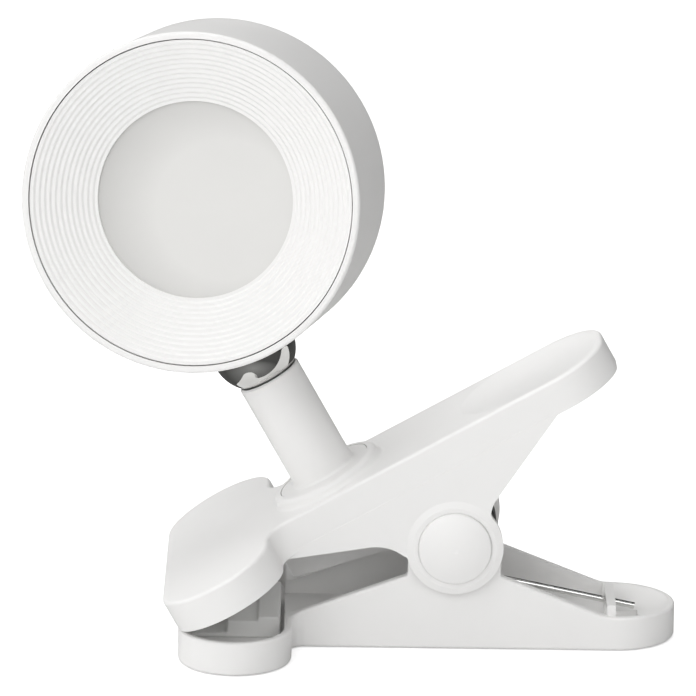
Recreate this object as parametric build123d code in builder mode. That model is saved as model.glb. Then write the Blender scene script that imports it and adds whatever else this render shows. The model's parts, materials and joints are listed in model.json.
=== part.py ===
"""Clip-on reading lamp: a spring clamp, a post with a ball, and a battery LED head.

Millimetres, +Z up. The origin lies on the face the clamp rests on, under the pivot pin.
+X runs from the jaws to the handles, and the light points mainly along -Y.
"""
import os
from math import asin, atan2, ceil, cos, degrees, radians, sin, sqrt, tan

from build123d import *

os.makedirs("parts", exist_ok=True)

# Clearances
run_gap = 0.08
seat_gap = 0.3
press_gap = 0.05
part_gap = 0.15
play = 0.1

# Clamp, common sizes
pivot_height = 25.0
pin_radius = 2.5
jaw_length = 26.0
jaw_reach = 63.1

# Lower lever
lower_half = 14.0
lower_wall = 2.0
rim_height = 7.9
lower_jaw_width = 71.6
jaw_wall = 1.8
jaw_floor = 2.0
neck_radius = 3.0
ear_radius = 10.7
ear_shoulder = 17.6
slope_foot = 35.4
handle_end = 51.6
trough_floor = 4.6
underside_skin = 2.0
underside_wall = 2.4
underside_bays = 4
edge_round = 0.8
rim_round = 0.6
slope_round = 9.0
neck_slope_round = 4.0
shoulder_round = 1.0
bowl_rim = 1.5
bowl_depth = 2.8
bay_corner = 1.0

# Torsion spring and the spool that carries its coil
wire_radius = 0.75
spool_radius = 8.2
spool_side_gap = 0.3
coil_pitch = 2.15
coil_full_turns = 4
lower_leg_y = -1.3
lower_leg_drop = 11.5
lower_leg_reach = 42.2
upper_leg_reach = 32.0
wire_samples = 1200

# Slot and bridge that hold the spring's leg in the lower handle
slot_width = 11.2
slot_end_room = 0.8
slot_floor = 3.8
bridge_length = 2.0
bridge_thickness = 1.1
bridge_foot_near = 1.0
bridge_foot_far = 5.8

# Upper lever
web_gap = 0.3
upper_wall = 1.6
web_wall = 1.75
skirt_height = 7.7
lever_height = 24.2
top_plate = 2.6
upper_end = 51.5
upper_jaw_length = 27.4
upper_jaw_width = 76.2
upper_end_corner = 13.3
upper_neck_radius = 5.0
top_round = 0.8
web_lap = 0.6
web_left_start = -36.0
web_left_angle = 148.9
web_left_reach = 4.8
web_right_angle = 21.3
web_right_reach = 2.4
waist_left_angle = 166.2
waist_right_angle = 13.2
waist_inset = 0.4
web_right_end = 35.5
web_left_round = 10.0
web_right_round = 6.0
waist_round = 1.6
hub_radius = 11.1
hub_rise = 0.5
hub_bevel = 1.5
dish_start = 15.0
dish_rim = 0.4
dish_depth = 1.4
dish_floor = 1.3
rib_thickness = 1.6
rib_start = (-38.0, 7.4)
rib_stop = (-13.6, 2.3)

# Grip pads
pad_half = 13.6
pad_end_gap = 1.3
pad_steps = (1.1, 4.0, 5.0)
pad_step_lengths = (8.0, 7.0, 5.2)
upper_pad_steps = (1.4, 3.2, 4.6)
upper_pad_setback = 1.0
pad_corner = 0.5

# Pivot caps
cap_radius = 8.4
cap_rim = 1.9
cap_dome = 1.7
cap_round = 0.6
cap_sink = 1.2
cap_hole = 1.2
cap_gap = 0.06

# Post and its foot
post_offset = -19.73
post_radius = 7.5
post_top = 53.0
post_edge = 0.5
collar_radius = 13.2
collar_rise = 2.4
collar_round = 1.2
collar_fillet = 1.0
foot_radius = 11.2
foot_gap = 0.2
foot_thickness = 4.8
foot_fillet = 0.8
foot_floor = 2.2
foot_screw_circle = 7.4

# Ball, its stud and its socket cup
ball_radius = 9.8
ball_lift = 7.05
stud_radius = 2.5
stud_depth = 6.0
nut_flats = 8.0
nut_height = 4.0
stud_tail = 0.8
cup_radius = 11.3
cup_flange = 12.7
cup_flange_thickness = 1.5
cup_mouth = 0.3
cup_crown = 0.9

# Head
head_radius = 38.65
head_depth = 40.0
head_yaw = 8.9
head_pitch = 7.36
head_lean = 18.04
ball_sink = 1.36
ball_setback = 4.0
shell_wall = 1.6
shell_edge = 0.7
tube_wall = 1.6
baffle_gap = 0.25
baffle_recess = 0.4
baffle_wall = 1.5
baffle_top = 0.8
baffle_steps = 12
riser_share = 0.4
baffle_lip = 0.6
baffle_skin = 1.5
light_recess = 7.0
light_radius = 22.4
diffuser_overlap = 0.8
diffuser_thickness = 1.6
chamber_wall = 1.4
chamber_depth = 2.9
board_thickness = 1.6
ledge_thickness = 1.2
ledge_width = 1.8
frame_thickness = 1.6
frame_rim = 1.4
cover_thickness = 2.0
cover_lap = 0.6

# Light source
led_size = 2.8
led_height = 0.9
led_ring_radii = (8.0, 16.5)
led_ring_chips = 6
reflector_wall = 1.5
lead_radius = 0.6
lead_spacing = 4.0
lead_place = -16.0
lead_bulge = 3.0
lead_inset = 2.0
lead_end = 6.0

# Battery, control board, switch and charging socket
cell_radius = 9.0
cell_length = 50.0
cell_button = 1.2
cell_y = 14.0
cell_z = -7.5
saddle_thickness = 3.0
saddle_spacing = 30.0
saddle_reach = 7.5
control_length = 44.0
control_width = 23.0
control_y = -8.5
control_lift = 5.2
chip_size = 5.0
chip_height = 1.2
chip_places = ((-5.0, 0), (8.0, 2.0))
board_corner = 1.5
standoff_radius = 2.6
standoff_spacing = 37.0
switch_size = 6.2
switch_height = 3.4
switch_stem_radius = 1.7
switch_stem = 0.3
port_width = 9.0
port_thickness = 3.2
port_wall = 0.35
port_x = 11.5
port_y = -14.5
port_sink = 0.7
tongue_width = 6.7
tongue_thickness = 0.7

# Power button
button_radius = 5.6
button_flange = 6.8
button_flange_thickness = 0.8
button_proud = 0.7
button_edge = 0.4
button_travel = 0.5

# Screws
screw_radius = 1.2
screw_hole_gap = 0.05
screw_head_radius = 2.2
screw_head_height = 1.6
screw_slot = 0.6
screw_slot_depth = 0.7
screw_slot_length = 2.9
foot_screw_length = 6.0
cover_screw_length = 9.0
board_screw_length = 5.0
pillar_radius = 3.0
pillar_circle = 30.5
pillar_angles = (90.0, 205.0, 335.0)
screw_boss_radius = 4.0
screw_boss_height = 1.6

# Places on the clamp that follow from the sizes above
jaw_centre = -jaw_reach + jaw_length / 2
neck_x = jaw_centre + jaw_length / 2
lower_end_centre = handle_end - lower_half
ear_inner = lower_half - lower_wall
skirt_bottom = lever_height - skirt_height
plate_under = lever_height - top_plate
dish_under = min(plate_under, lever_height - dish_depth - dish_floor)
upper_inner = lower_half + web_gap
upper_half = upper_inner + upper_wall
upper_jaw_centre = -jaw_reach + upper_jaw_length / 2
hub_face = upper_inner + web_wall + hub_rise
collar_top = lever_height + collar_rise
recess_floor = collar_top - foot_thickness + seat_gap / 2
boss_under = recess_floor - foot_floor
nut_top = boss_under - seat_gap
stud_end = nut_top - nut_height - stud_tail
cap_seat = hub_face - cap_sink
coil_radius = spool_radius + seat_gap + wire_radius
pivot = Vector(0, 0, pivot_height)
pivot_axis = Axis(origin=pivot, direction=(0, 1, 0))

# The closed jaws meet at their tips, which sets the upper lever's tilt at rest
tip_drop = pivot_height - rim_height - seat_gap
lever_tilt = asin(tip_drop / sqrt(jaw_reach**2 + skirt_bottom**2)) + atan2(skirt_bottom, jaw_reach)
along = Vector(cos(lever_tilt), 0, sin(lever_tilt))
upward = Vector(-sin(lever_tilt), 0, cos(lever_tilt))
lever = Plane(origin=pivot, x_dir=along, z_dir=upward)
lever_side = Plane(origin=pivot, x_dir=along, z_dir=(0, -1, 0))
post_base = pivot + along * post_offset
post_plane = Plane(origin=post_base, x_dir=along, z_dir=upward)
post_side = Plane(origin=post_base, x_dir=along, z_dir=(0, -1, 0))
post_axis = Axis(origin=post_base, direction=upward)

# Ball on the post, and the head that leans on the ball
ball_level = post_top + ball_lift
ball_centre = post_base + upward * ball_level
yaw, pitch, lean = radians(head_yaw), radians(head_pitch), radians(head_lean)
facing = Vector(-sin(yaw) * cos(pitch), -cos(yaw) * cos(pitch), sin(pitch))
level = Vector(cos(yaw), -sin(yaw), 0)
socket_dir = facing.cross(level) * cos(lean) - level * sin(lean)
head_right = socket_dir.cross(facing)
ball_inset = head_radius - ball_sink
head_centre = ball_centre + socket_dir * ball_inset + facing * ball_setback
head = Plane(origin=head_centre, x_dir=head_right, z_dir=facing)
head_section = Plane(origin=head_centre, x_dir=head_right, z_dir=socket_dir * -1)
head_axis = Axis(origin=head_centre, direction=facing)
socket = Plane(origin=ball_centre, x_dir=head_right, z_dir=socket_dir)
socket_section = Plane(origin=ball_centre, x_dir=head_right, z_dir=facing)
socket_axis = Axis(origin=ball_centre, direction=socket_dir)

# Levels along the head's axis, with 0 at mid depth and the light at the front
front = head_depth / 2
back = -head_depth / 2
baffle_front = front - baffle_recess
light_level = baffle_front - light_recess
diffuser_back = light_level - diffuser_thickness
board_front = diffuser_back - chamber_depth
frame_front = board_front - board_thickness
frame_back = frame_front - frame_thickness
ledge_front = diffuser_back + seat_gap
ledge_back = ledge_front - ledge_thickness
cover_inner = back + cover_thickness
shell_inner = head_radius - shell_wall
baffle_radius = shell_inner - baffle_gap
diffuser_radius = light_radius + diffuser_overlap
chamber_inner = diffuser_radius + part_gap
chamber_outer = chamber_inner + chamber_wall
frame_radius = shell_inner - part_gap
control_back = cover_inner + control_lift
control_front = control_back + board_thickness
tube_inner = cup_radius + seat_gap
tube_outer = tube_inner + tube_wall
cup_pocket = ball_radius + seat_gap
cup_top = cup_pocket + cup_crown
cup_shoulder = cup_top - cup_flange_thickness
tube_end = cup_shoulder - seat_gap
pillar_end = cover_inner + screw_boss_height
standoff_places = [(standoff_spacing / 2, control_y), (-standoff_spacing / 2, control_y)]
foot_screw_places = [(0, foot_screw_circle), (0, -foot_screw_circle)]
lead_places = [(lead_spacing / 2, lead_place), (-lead_spacing / 2, lead_place)]
screw_hole = screw_radius + screw_hole_gap


def screws(plane, places, length):
    """Pan-head screws with a cross recess: heads outside the plane, shanks going in."""
    with BuildPart() as group:
        with BuildSketch(plane):
            with Locations(*places):
                Circle(screw_head_radius)
        extrude(amount=screw_head_height)
        with BuildSketch(plane):
            with Locations(*places):
                Circle(screw_radius)
        extrude(amount=-length)
        with BuildSketch(plane.offset(screw_head_height)):
            with Locations(*places):
                Rectangle(screw_slot_length, screw_slot)
                Rectangle(screw_slot, screw_slot_length)
        extrude(amount=-screw_slot_depth, mode=Mode.SUBTRACT)
    return group


def around(radius, angle):
    """Point at that radius and angle, in degrees."""
    return radius * cos(radians(angle)), radius * sin(radians(angle))


def corners_at(sketch, places):
    """The sketch's corners that lie at the given places."""
    return [v for v in sketch.vertices() for x, y in places if abs(v.X - x) + abs(v.Y - y) < 0.01]


pillar_places = [around(pillar_circle, angle) for angle in pillar_angles]

# Lower lever: a bar with a round handle, two ears and a wide round-ended jaw
with BuildPart() as lower_lever:
    with BuildSketch() as lower_plan:
        with Locations(((jaw_centre + lower_end_centre) / 2, 0)):
            Rectangle(lower_end_centre - jaw_centre, 2 * lower_half)
        with Locations((lower_end_centre, 0)):
            Circle(lower_half)
        with Locations((jaw_centre, 0)):
            SlotOverall(lower_jaw_width, jaw_length, rotation=90)
        corners = lower_plan.vertices().filter_by_position(Axis.X, neck_x - 0.01, neck_x + 0.01)
        neck_room = (lower_jaw_width - jaw_length) / 2 - lower_half
        fillet([v for v in corners if abs(v.Y) < lower_half + 0.01], min(neck_radius, 0.9 * neck_room))
    extrude(amount=pivot_height + ear_radius)
    fillet(lower_lever.faces().sort_by(Axis.Z)[0].outer_wire().edges(), edge_round)
    with BuildSketch(Plane.XZ) as lower_side:
        with BuildLine():
            Polyline(
                (-jaw_reach, 0),
                (handle_end, 0),
                (handle_end, rim_height),
                (slope_foot, rim_height),
                (ear_radius, ear_shoulder),
                (ear_radius, pivot_height),
                (-ear_radius, pivot_height),
                (-ear_radius, ear_shoulder),
                (neck_x, rim_height),
                (-jaw_reach, rim_height),
                close=True,
            )
        make_face()
        shoulders = [(ear_radius, ear_shoulder), (-ear_radius, ear_shoulder)]
        fillet(corners_at(lower_side, [(slope_foot, rim_height)]), slope_round)
        fillet(corners_at(lower_side, [(neck_x, rim_height)]), neck_slope_round)
        fillet(corners_at(lower_side, shoulders), shoulder_round)
        with Locations((0, pivot_height)):
            Circle(ear_radius)
    extrude(amount=lower_jaw_width, both=True, mode=Mode.INTERSECT)

    # Trough between the side walls, and the jaw's open tray
    trough_start = neck_x - jaw_wall
    with BuildSketch(Plane.XY.offset(trough_floor)):
        with Locations(((trough_start + slope_foot) / 2, 0)):
            Rectangle(slope_foot - trough_start, 2 * ear_inner)
    extrude(amount=2 * pivot_height, mode=Mode.SUBTRACT)
    with BuildSketch(Plane.XY.offset(jaw_floor)):
        with Locations((jaw_centre, 0)):
            SlotOverall(lower_jaw_width - 2 * jaw_wall, jaw_length - 2 * jaw_wall, rotation=90)
    extrude(amount=pivot_height, mode=Mode.SUBTRACT)

    # Hollow in the handle's deck, like the bowl of a spoon
    bowl_half = lower_half - bowl_rim
    bowl_radius = (bowl_half**2 + bowl_depth**2) / (2 * bowl_depth)
    bowl_level = rim_height - bowl_depth + bowl_radius
    with BuildSketch(Plane.XY.offset(rim_height - bowl_depth)):
        with Locations(((slope_foot + handle_end) / 2, 0)):
            Rectangle(handle_end - slope_foot, 2 * lower_half)
    bowl = extrude(amount=2 * bowl_depth, mode=Mode.PRIVATE)
    ball = Sphere(bowl_radius, mode=Mode.PRIVATE).moved(Location((lower_end_centre, 0, bowl_level)))
    add(bowl & ball, mode=Mode.SUBTRACT)

    # Slot in the handle's deck for the spring's leg, with a bridge over it
    slot_far = lower_leg_y + wire_radius + seat_gap
    slot_near = slot_far - slot_width
    slot_end = lower_leg_reach + slot_end_room
    slot_mid = (slot_far + slot_near) / 2
    with BuildSketch(Plane.XY.offset(slot_floor)):
        with Locations(((slope_foot + slot_end) / 2, slot_mid)):
            Rectangle(slot_end - slope_foot, slot_width)
    extrude(amount=rim_height, mode=Mode.SUBTRACT)
    bridge_near = slot_near - bridge_foot_near
    bridge_far = slot_far + bridge_foot_far
    leg_slope = radians(lower_leg_drop)
    leg_height = pivot_height - coil_radius / cos(leg_slope) - slope_foot * tan(leg_slope)
    bridge_under = leg_height + wire_radius / cos(leg_slope) + seat_gap
    with BuildSketch(Plane.XY.offset(slot_floor)):
        with Locations((slope_foot + bridge_length / 2, (bridge_near + bridge_far) / 2)):
            Rectangle(bridge_length, bridge_far - bridge_near)
    extrude(amount=bridge_under + bridge_thickness - slot_floor)
    with BuildSketch(Plane.XY.offset(slot_floor)):
        with Locations((slope_foot + bridge_length / 2, slot_mid)):
            Rectangle(2 * bridge_length, slot_width)
    extrude(amount=bridge_under - slot_floor, mode=Mode.SUBTRACT)

    # Rounded rims: outside from the handle up the slopes to the ears and jaw, inside the jaw's tray
    rim_edges = [e for e in lower_lever.edges() if abs((e @ 0.5).Z - rim_height) < 0.01]
    handle_rim = [e for e in rim_edges if abs((e @ 0.5).X - handle_end) < 0.01]
    tray_rim = [e for e in rim_edges if abs((e @ 0.5).X + jaw_reach - jaw_wall) < 0.01]
    fillet(handle_rim, rim_round)
    fillet(tray_rim, rim_round)

    # Hollows in the underside, leaving a rim, a rib along the middle and cross ribs
    bay_start, bay_end = neck_x + underside_wall, slope_foot - underside_wall / 2
    bay_step = (bay_end - bay_start) / underside_bays
    bay_half = lower_half - lower_wall - underside_wall / 2
    bay_places = [
        (bay_start + bay_step * (i + 0.5), side * (underside_wall / 2 + bay_half / 2))
        for i in range(underside_bays)
        for side in (1, -1)
    ]
    with BuildSketch():
        with Locations(*bay_places):
            RectangleRounded(bay_step - underside_wall, bay_half, bay_corner)
    extrude(amount=trough_floor - underside_skin, mode=Mode.SUBTRACT)

    # Holes in the ears for the pin
    with BuildSketch(Plane.XZ):
        with Locations((0, pivot_height)):
            Circle(pin_radius + run_gap)
    extrude(amount=2 * lower_half, both=True, mode=Mode.SUBTRACT)
lower_lever.part.label = "lower_lever"
export_step(lower_lever.part, "parts/lower_lever.step")

# Lower grip pad: a stepped soft pad in the jaw's tray
pad_start = -jaw_reach + jaw_wall + pad_end_gap
with BuildPart() as lower_grip_pad:
    pad_x = pad_start
    for height, length in zip(pad_steps, pad_step_lengths):
        with BuildSketch(Plane.XY.offset(jaw_floor)):
            with Locations((pad_x + length / 2, 0)):
                Rectangle(length, 2 * pad_half)
        extrude(amount=height)
        pad_x += length
    fillet(lower_grip_pad.edges().filter_by(Axis.Z), pad_corner)
lower_grip_pad.part.label = "lower_grip_pad"
export_step(lower_grip_pad.part, "parts/lower_grip_pad.step")

# Spool: a sleeve on the pin, between the ears, that the coil sits on
with BuildPart() as spring_spool:
    spool_half = ear_inner - spool_side_gap
    with BuildSketch(Plane.XZ):
        with Locations((0, pivot_height)):
            Circle(spool_radius)
            Circle(pin_radius + run_gap, mode=Mode.SUBTRACT)
    extrude(amount=spool_half, both=True)
spring_spool.part.label = "spring_spool"
export_step(spring_spool.part, "parts/spring_spool.step")

# Torsion spring: one wire, a straight leg into each handle and a coil around the spool
leg_u = upper_leg_reach
leg_v = dish_under - wire_radius - seat_gap
leg_angle = atan2(leg_v, leg_u) - asin(coil_radius / sqrt(leg_u**2 + leg_v**2))
coil_start = radians(270 - lower_leg_drop)
coil_stop = radians(90) + lever_tilt + leg_angle
coil_sweep = coil_start - coil_stop + radians(360) * coil_full_turns
coil_pieces = ceil(coil_sweep / radians(90))
coil_rise = coil_pitch / radians(360)


def coil_point(turned):
    """Point on the coil after turning that far from where the lower leg meets it."""
    angle = coil_start - turned
    return Vector(
        coil_radius * cos(angle), lower_leg_y + coil_rise * turned, pivot_height + coil_radius * sin(angle)
    )


def coil_tangent(turned):
    """Direction of the wire there, level with the legs at both ends of the coil."""
    angle = coil_start - turned
    rise = coil_rise if 0 < turned < coil_sweep else 0
    return Vector(coil_radius * sin(angle), rise, -coil_radius * cos(angle)).normalized()


lower_join, upper_join = coil_point(0), coil_point(coil_sweep)
lower_run = (lower_leg_reach - lower_join.X) / cos(radians(lower_leg_drop))
upper_run = sqrt(leg_u**2 + leg_v**2 - coil_radius**2)
lower_tip = lower_join - coil_tangent(0) * lower_run
upper_tip = upper_join + coil_tangent(coil_sweep) * upper_run
with BuildPart() as torsion_spring:
    with BuildLine() as spring_path:
        Line(lower_tip, lower_join)
        for i in range(coil_pieces):
            turned, next_turned = coil_sweep * i / coil_pieces, coil_sweep * (i + 1) / coil_pieces
            p1, p2 = coil_point(turned), coil_point(next_turned)
            t1, t2 = coil_tangent(turned), coil_tangent(next_turned)
            v, t = p2 - p1, t1 + t2
            turn = 2 * (1 - t1.dot(t2))
            d = (sqrt(v.dot(t) ** 2 + turn * v.dot(v)) - v.dot(t)) / turn
            middle = (p1 + p2 + (t1 - t2) * d) * 0.5
            TangentArc(p1, middle, tangent=t1)
            TangentArc(middle, p2, tangent=(p2 - t2 * d) - (p1 + t1 * d))
        Line(upper_join, upper_tip)
    with BuildSketch(Plane(origin=lower_tip, z_dir=coil_tangent(0))):
        Circle(wire_radius)
    sweep()
torsion_spring.part.label = "torsion_spring"
export_step(torsion_spring.part, "parts/torsion_spring.step")

# Least gap of the wire to itself, on points along it
wire = spring_path.wires()[0]
wire_points = [wire @ (i / wire_samples) for i in range(wire_samples + 1)]
skip = int(4 * coil_radius * wire_samples / wire.length)
least = min((a - b).length for i, a in enumerate(wire_points) for b in wire_points[i + skip:])
print("spring: least gap of the wire to itself", round(least - 2 * wire_radius, 3), "mm")

# Upper lever: a shallow tray turned over, with webs down to the hubs on the pivot
with BuildPart() as upper_lever:
    with BuildSketch(lever.offset(skirt_bottom)) as upper_plan:
        with Locations(((upper_jaw_centre + upper_end) / 2, 0)):
            bar = Rectangle(upper_end - upper_jaw_centre, 2 * upper_half)
        fillet(bar.vertices().sort_by(Axis.X)[-2:], upper_end_corner)
        with Locations((upper_jaw_centre, 0)):
            SlotOverall(upper_jaw_width, upper_jaw_length, rotation=90)
        upper_neck = upper_jaw_centre + upper_jaw_length / 2
        corners = upper_plan.vertices().filter_by_position(Axis.X, upper_neck - 0.01, upper_neck + 0.01)
        neck_room = (upper_jaw_width - upper_jaw_length) / 2 - upper_half
        neck_fillet = min(upper_neck_radius, 0.9 * neck_room)
        fillet([v for v in corners if abs(v.Y) < upper_half + 0.01], neck_fillet)
    extrude(amount=skirt_height)
    top_edges = upper_lever.faces().sort_by(Axis(pivot, upward))[-1].outer_wire().edges()
    fillet(top_edges, top_round)
    with BuildSketch(lever.offset(skirt_bottom)):
        add(upper_plan.sketch_local)
        offset(amount=-upper_wall)
    extrude(amount=skirt_height - top_plate, mode=Mode.SUBTRACT)
    with BuildSketch(lever.offset(dish_under)):
        add(upper_plan.sketch_local)
        offset(amount=-upper_wall / 2)
        with Locations(((dish_start + upper_end) / 2, 0)):
            Rectangle(upper_end - dish_start, 2 * upper_half, mode=Mode.INTERSECT)
    extrude(amount=lever_height - top_plate / 2 - dish_under)

    # Webs at both sides, with a hub around the pin
    web_top = skirt_bottom + web_lap
    waist_radius = hub_radius - waist_inset
    web_left_bend = around(hub_radius + web_left_reach, web_left_angle)
    web_right_bend = around(hub_radius + web_right_reach, web_right_angle)
    for side in (1, -1):
        with BuildSketch(lever_side.offset(side * upper_inner)) as web:
            with BuildLine():
                Polyline(
                    (web_left_start, web_top),
                    (web_left_start, skirt_bottom),
                    web_left_bend,
                    around(waist_radius, waist_left_angle),
                    (0, 0),
                    around(waist_radius, waist_right_angle),
                    web_right_bend,
                    (web_right_end, skirt_bottom),
                    (web_right_end, web_top),
                    close=True,
                )
            make_face()
            fillet(corners_at(web, [web_left_bend]), web_left_round)
            fillet(corners_at(web, [web_right_bend]), web_right_round)
            Circle(hub_radius)
            waist = [v for v in web.vertices() if abs(sqrt(v.X**2 + v.Y**2) - hub_radius) < 0.01]
            fillet(waist, waist_round)
        extrude(amount=side * web_wall)
        with BuildSketch(lever):
            with BuildLine():
                Polyline(
                    (0, -side * upper_inner),
                    (hub_radius, -side * upper_inner),
                    (hub_radius, -side * (hub_face - hub_rise)),
                    (hub_radius - hub_bevel, -side * hub_face),
                    (0, -side * hub_face),
                    close=True,
                )
            make_face()
        revolve(axis=pivot_axis)
        with BuildSketch(lever_side.offset(side * cap_seat)):
            Circle(cap_radius + cap_gap)
        extrude(amount=side * 2 * cap_sink, mode=Mode.SUBTRACT)
    with BuildSketch(lever_side):
        Circle(pin_radius + press_gap)
    extrude(amount=2 * upper_half, both=True, mode=Mode.SUBTRACT)

    # Rib along the middle, passing below the nut of the ball's stud
    nut_room = nut_flats / 2 / cos(radians(30)) + seat_gap
    nut_under = stud_end - seat_gap
    with BuildSketch(lever_side):
        with BuildLine():
            Polyline(
                rib_start,
                rib_stop,
                (rib_stop[0], plate_under + top_plate / 2),
                (rib_start[0], plate_under + top_plate / 2),
                close=True,
            )
        make_face()
        with Locations((post_offset, (nut_under + lever_height) / 2)):
            Rectangle(2 * nut_room, lever_height - nut_under, mode=Mode.SUBTRACT)
    extrude(amount=rib_thickness / 2, both=True)

    # Collar, boss and recess for the post's foot
    with BuildSketch(post_side):
        with BuildLine():
            Polyline(
                (0, collar_top),
                (0, boss_under),
                (foot_radius + upper_wall, boss_under),
                (foot_radius + upper_wall, plate_under),
                (collar_radius + collar_fillet, lever_height - top_plate / 2),
                (collar_radius + collar_fillet, lever_height),
            )
            RadiusArc((collar_radius + collar_fillet, lever_height),
                      (collar_radius, lever_height + collar_fillet), collar_fillet)
            Line((collar_radius, lever_height + collar_fillet), (collar_radius, collar_top - collar_round))
            RadiusArc((collar_radius, collar_top - collar_round),
                      (collar_radius - collar_round, collar_top), -collar_round)
            Line((collar_radius - collar_round, collar_top), (0, collar_top))
        make_face()
    revolve(axis=post_axis)
    with BuildSketch(post_plane.offset(recess_floor)):
        Circle(foot_radius + foot_gap)
    extrude(amount=foot_thickness, mode=Mode.SUBTRACT)
    with BuildSketch(post_plane.offset(recess_floor)):
        Circle(stud_radius + seat_gap)
        with Locations(*foot_screw_places):
            Circle(screw_hole)
    extrude(amount=-2 * foot_floor, mode=Mode.SUBTRACT)

    # Thumb dish in the top of the handle
    dish_half = upper_half - top_round - dish_rim
    dish_end = upper_end - top_round - dish_rim
    dish_radius = (dish_half**2 + dish_depth**2) / (2 * dish_depth)
    dish_level = lever_height - dish_depth + dish_radius
    dish_places = [(dish_start + dish_half, 0, dish_level), (dish_end - dish_half, 0, dish_level)]
    with Locations(lever):
        with Locations(*dish_places):
            Sphere(dish_radius, mode=Mode.SUBTRACT)
    with BuildSketch(Plane(origin=lever.from_local_coords(dish_places[0]), z_dir=along)):
        Circle(dish_radius)
    extrude(amount=dish_end - dish_start - 2 * dish_half, mode=Mode.SUBTRACT)
upper_lever.part.label = "upper_lever"
export_step(upper_lever.part, "parts/upper_lever.step")

# Upper grip pad: stepped like the lower one, under the upper jaw's plate
with BuildPart() as upper_grip_pad:
    pad_u = -jaw_reach + upper_wall + upper_pad_setback
    for height, length in zip(upper_pad_steps, pad_step_lengths):
        with BuildSketch(lever.offset(plate_under)):
            with Locations((pad_u + length / 2, 0)):
                Rectangle(length, 2 * pad_half)
        extrude(amount=-height)
        pad_u += length
upper_grip_pad.part.label = "upper_grip_pad"
export_step(upper_grip_pad.part, "parts/upper_grip_pad.step")

# Pivot pin, with a domed cap pressed on each end
with BuildPart() as pivot_pin:
    with BuildSketch(lever_side):
        Circle(pin_radius)
    extrude(amount=cap_seat + cap_hole - play, both=True)
pivot_pin.part.label = "pivot_pin"
export_step(pivot_pin.part, "parts/pivot_pin.step")


def pivot_cap(side):
    """Domed cap over one end of the pin."""
    dome_sphere = (cap_radius**2 + cap_dome**2) / (2 * cap_dome)
    with BuildPart() as cap:
        with BuildSketch(Plane(origin=pivot, x_dir=along, z_dir=upward)) as section:
            with BuildLine():
                Polyline(
                    (0, side * (cap_seat + cap_rim + cap_dome)),
                    (0, side * (cap_seat + cap_hole)),
                    (pin_radius + press_gap, side * (cap_seat + cap_hole)),
                    (pin_radius + press_gap, side * cap_seat),
                    (cap_radius, side * cap_seat),
                    (cap_radius, side * (cap_seat + cap_rim)),
                )
                RadiusArc((cap_radius, side * (cap_seat + cap_rim)),
                          (0, side * (cap_seat + cap_rim + cap_dome)), -side * dome_sphere)
            make_face()
            fillet(corners_at(section, [(cap_radius, side * (cap_seat + cap_rim))]), cap_round)
        revolve(axis=pivot_axis)
    return cap


pivot_cap_near = pivot_cap(-1)
pivot_cap_near.part.label = "pivot_cap_near"
export_step(pivot_cap_near.part, "parts/pivot_cap_near.step")
pivot_cap_far = pivot_cap(1)
pivot_cap_far.part.label = "pivot_cap_far"
export_step(pivot_cap_far.part, "parts/pivot_cap_far.step")

# Post: a hollow column on a round foot, with a hollow seat for the ball on top
with BuildPart() as post:
    foot_top = recess_floor + foot_thickness - seat_gap
    with BuildSketch(post_side):
        with BuildLine():
            Polyline(
                (stud_radius + run_gap, recess_floor),
                (foot_radius, recess_floor),
                (foot_radius, foot_top),
                (post_radius + foot_fillet, foot_top),
            )
            RadiusArc((post_radius + foot_fillet, foot_top),
                      (post_radius, foot_top + foot_fillet), foot_fillet)
            Polyline(
                (post_radius, foot_top + foot_fillet),
                (post_radius, post_top - post_edge),
                (post_radius - post_edge, post_top),
                (stud_radius + run_gap, post_top),
                (stud_radius + run_gap, recess_floor),
            )
        make_face()
    revolve(axis=post_axis)
    with Locations(Plane(origin=ball_centre, x_dir=along, z_dir=upward)):
        Sphere(ball_radius + seat_gap, mode=Mode.SUBTRACT)
    with BuildSketch(post_plane.offset(recess_floor)):
        with Locations(*foot_screw_places):
            Circle(screw_hole)
    extrude(amount=foot_screw_length - foot_floor + play, mode=Mode.SUBTRACT)
post.part.label = "post"
export_step(post.part, "parts/post.step")

# Screws up through the lever into the post's foot
under_foot = Plane(origin=post_base + upward * boss_under, x_dir=along, z_dir=upward * -1)
post_screws = screws(under_foot, foot_screw_places, foot_screw_length)
post_screws.part.label = "post_screws"
export_step(post_screws.part, "parts/post_screws.step")

# Ball on a stud that turns in the post, held by a nut under the lever
stud_top = ball_level - ball_radius + stud_depth
with BuildPart() as chrome_ball:
    with Locations(Plane(origin=ball_centre, x_dir=along, z_dir=upward)):
        Sphere(ball_radius)
    with BuildSketch(post_plane.offset(stud_top + play)):
        Circle(stud_radius + press_gap)
    extrude(amount=-2 * ball_radius, mode=Mode.SUBTRACT)
chrome_ball.part.label = "chrome_ball"
export_step(chrome_ball.part, "parts/chrome_ball.step")

with BuildPart() as ball_stud:
    with BuildSketch(post_plane.offset(stud_top)):
        Circle(stud_radius)
    extrude(amount=stud_end - stud_top)
ball_stud.part.label = "ball_stud"
export_step(ball_stud.part, "parts/ball_stud.step")

with BuildPart() as stud_nut:
    with BuildSketch(post_plane.offset(nut_top)):
        RegularPolygon(nut_flats / 2, 6, major_radius=False)
        Circle(stud_radius + press_gap, mode=Mode.SUBTRACT)
    extrude(amount=-nut_height)
stud_nut.part.label = "stud_nut"
export_step(stud_nut.part, "parts/stud_nut.step")

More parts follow.
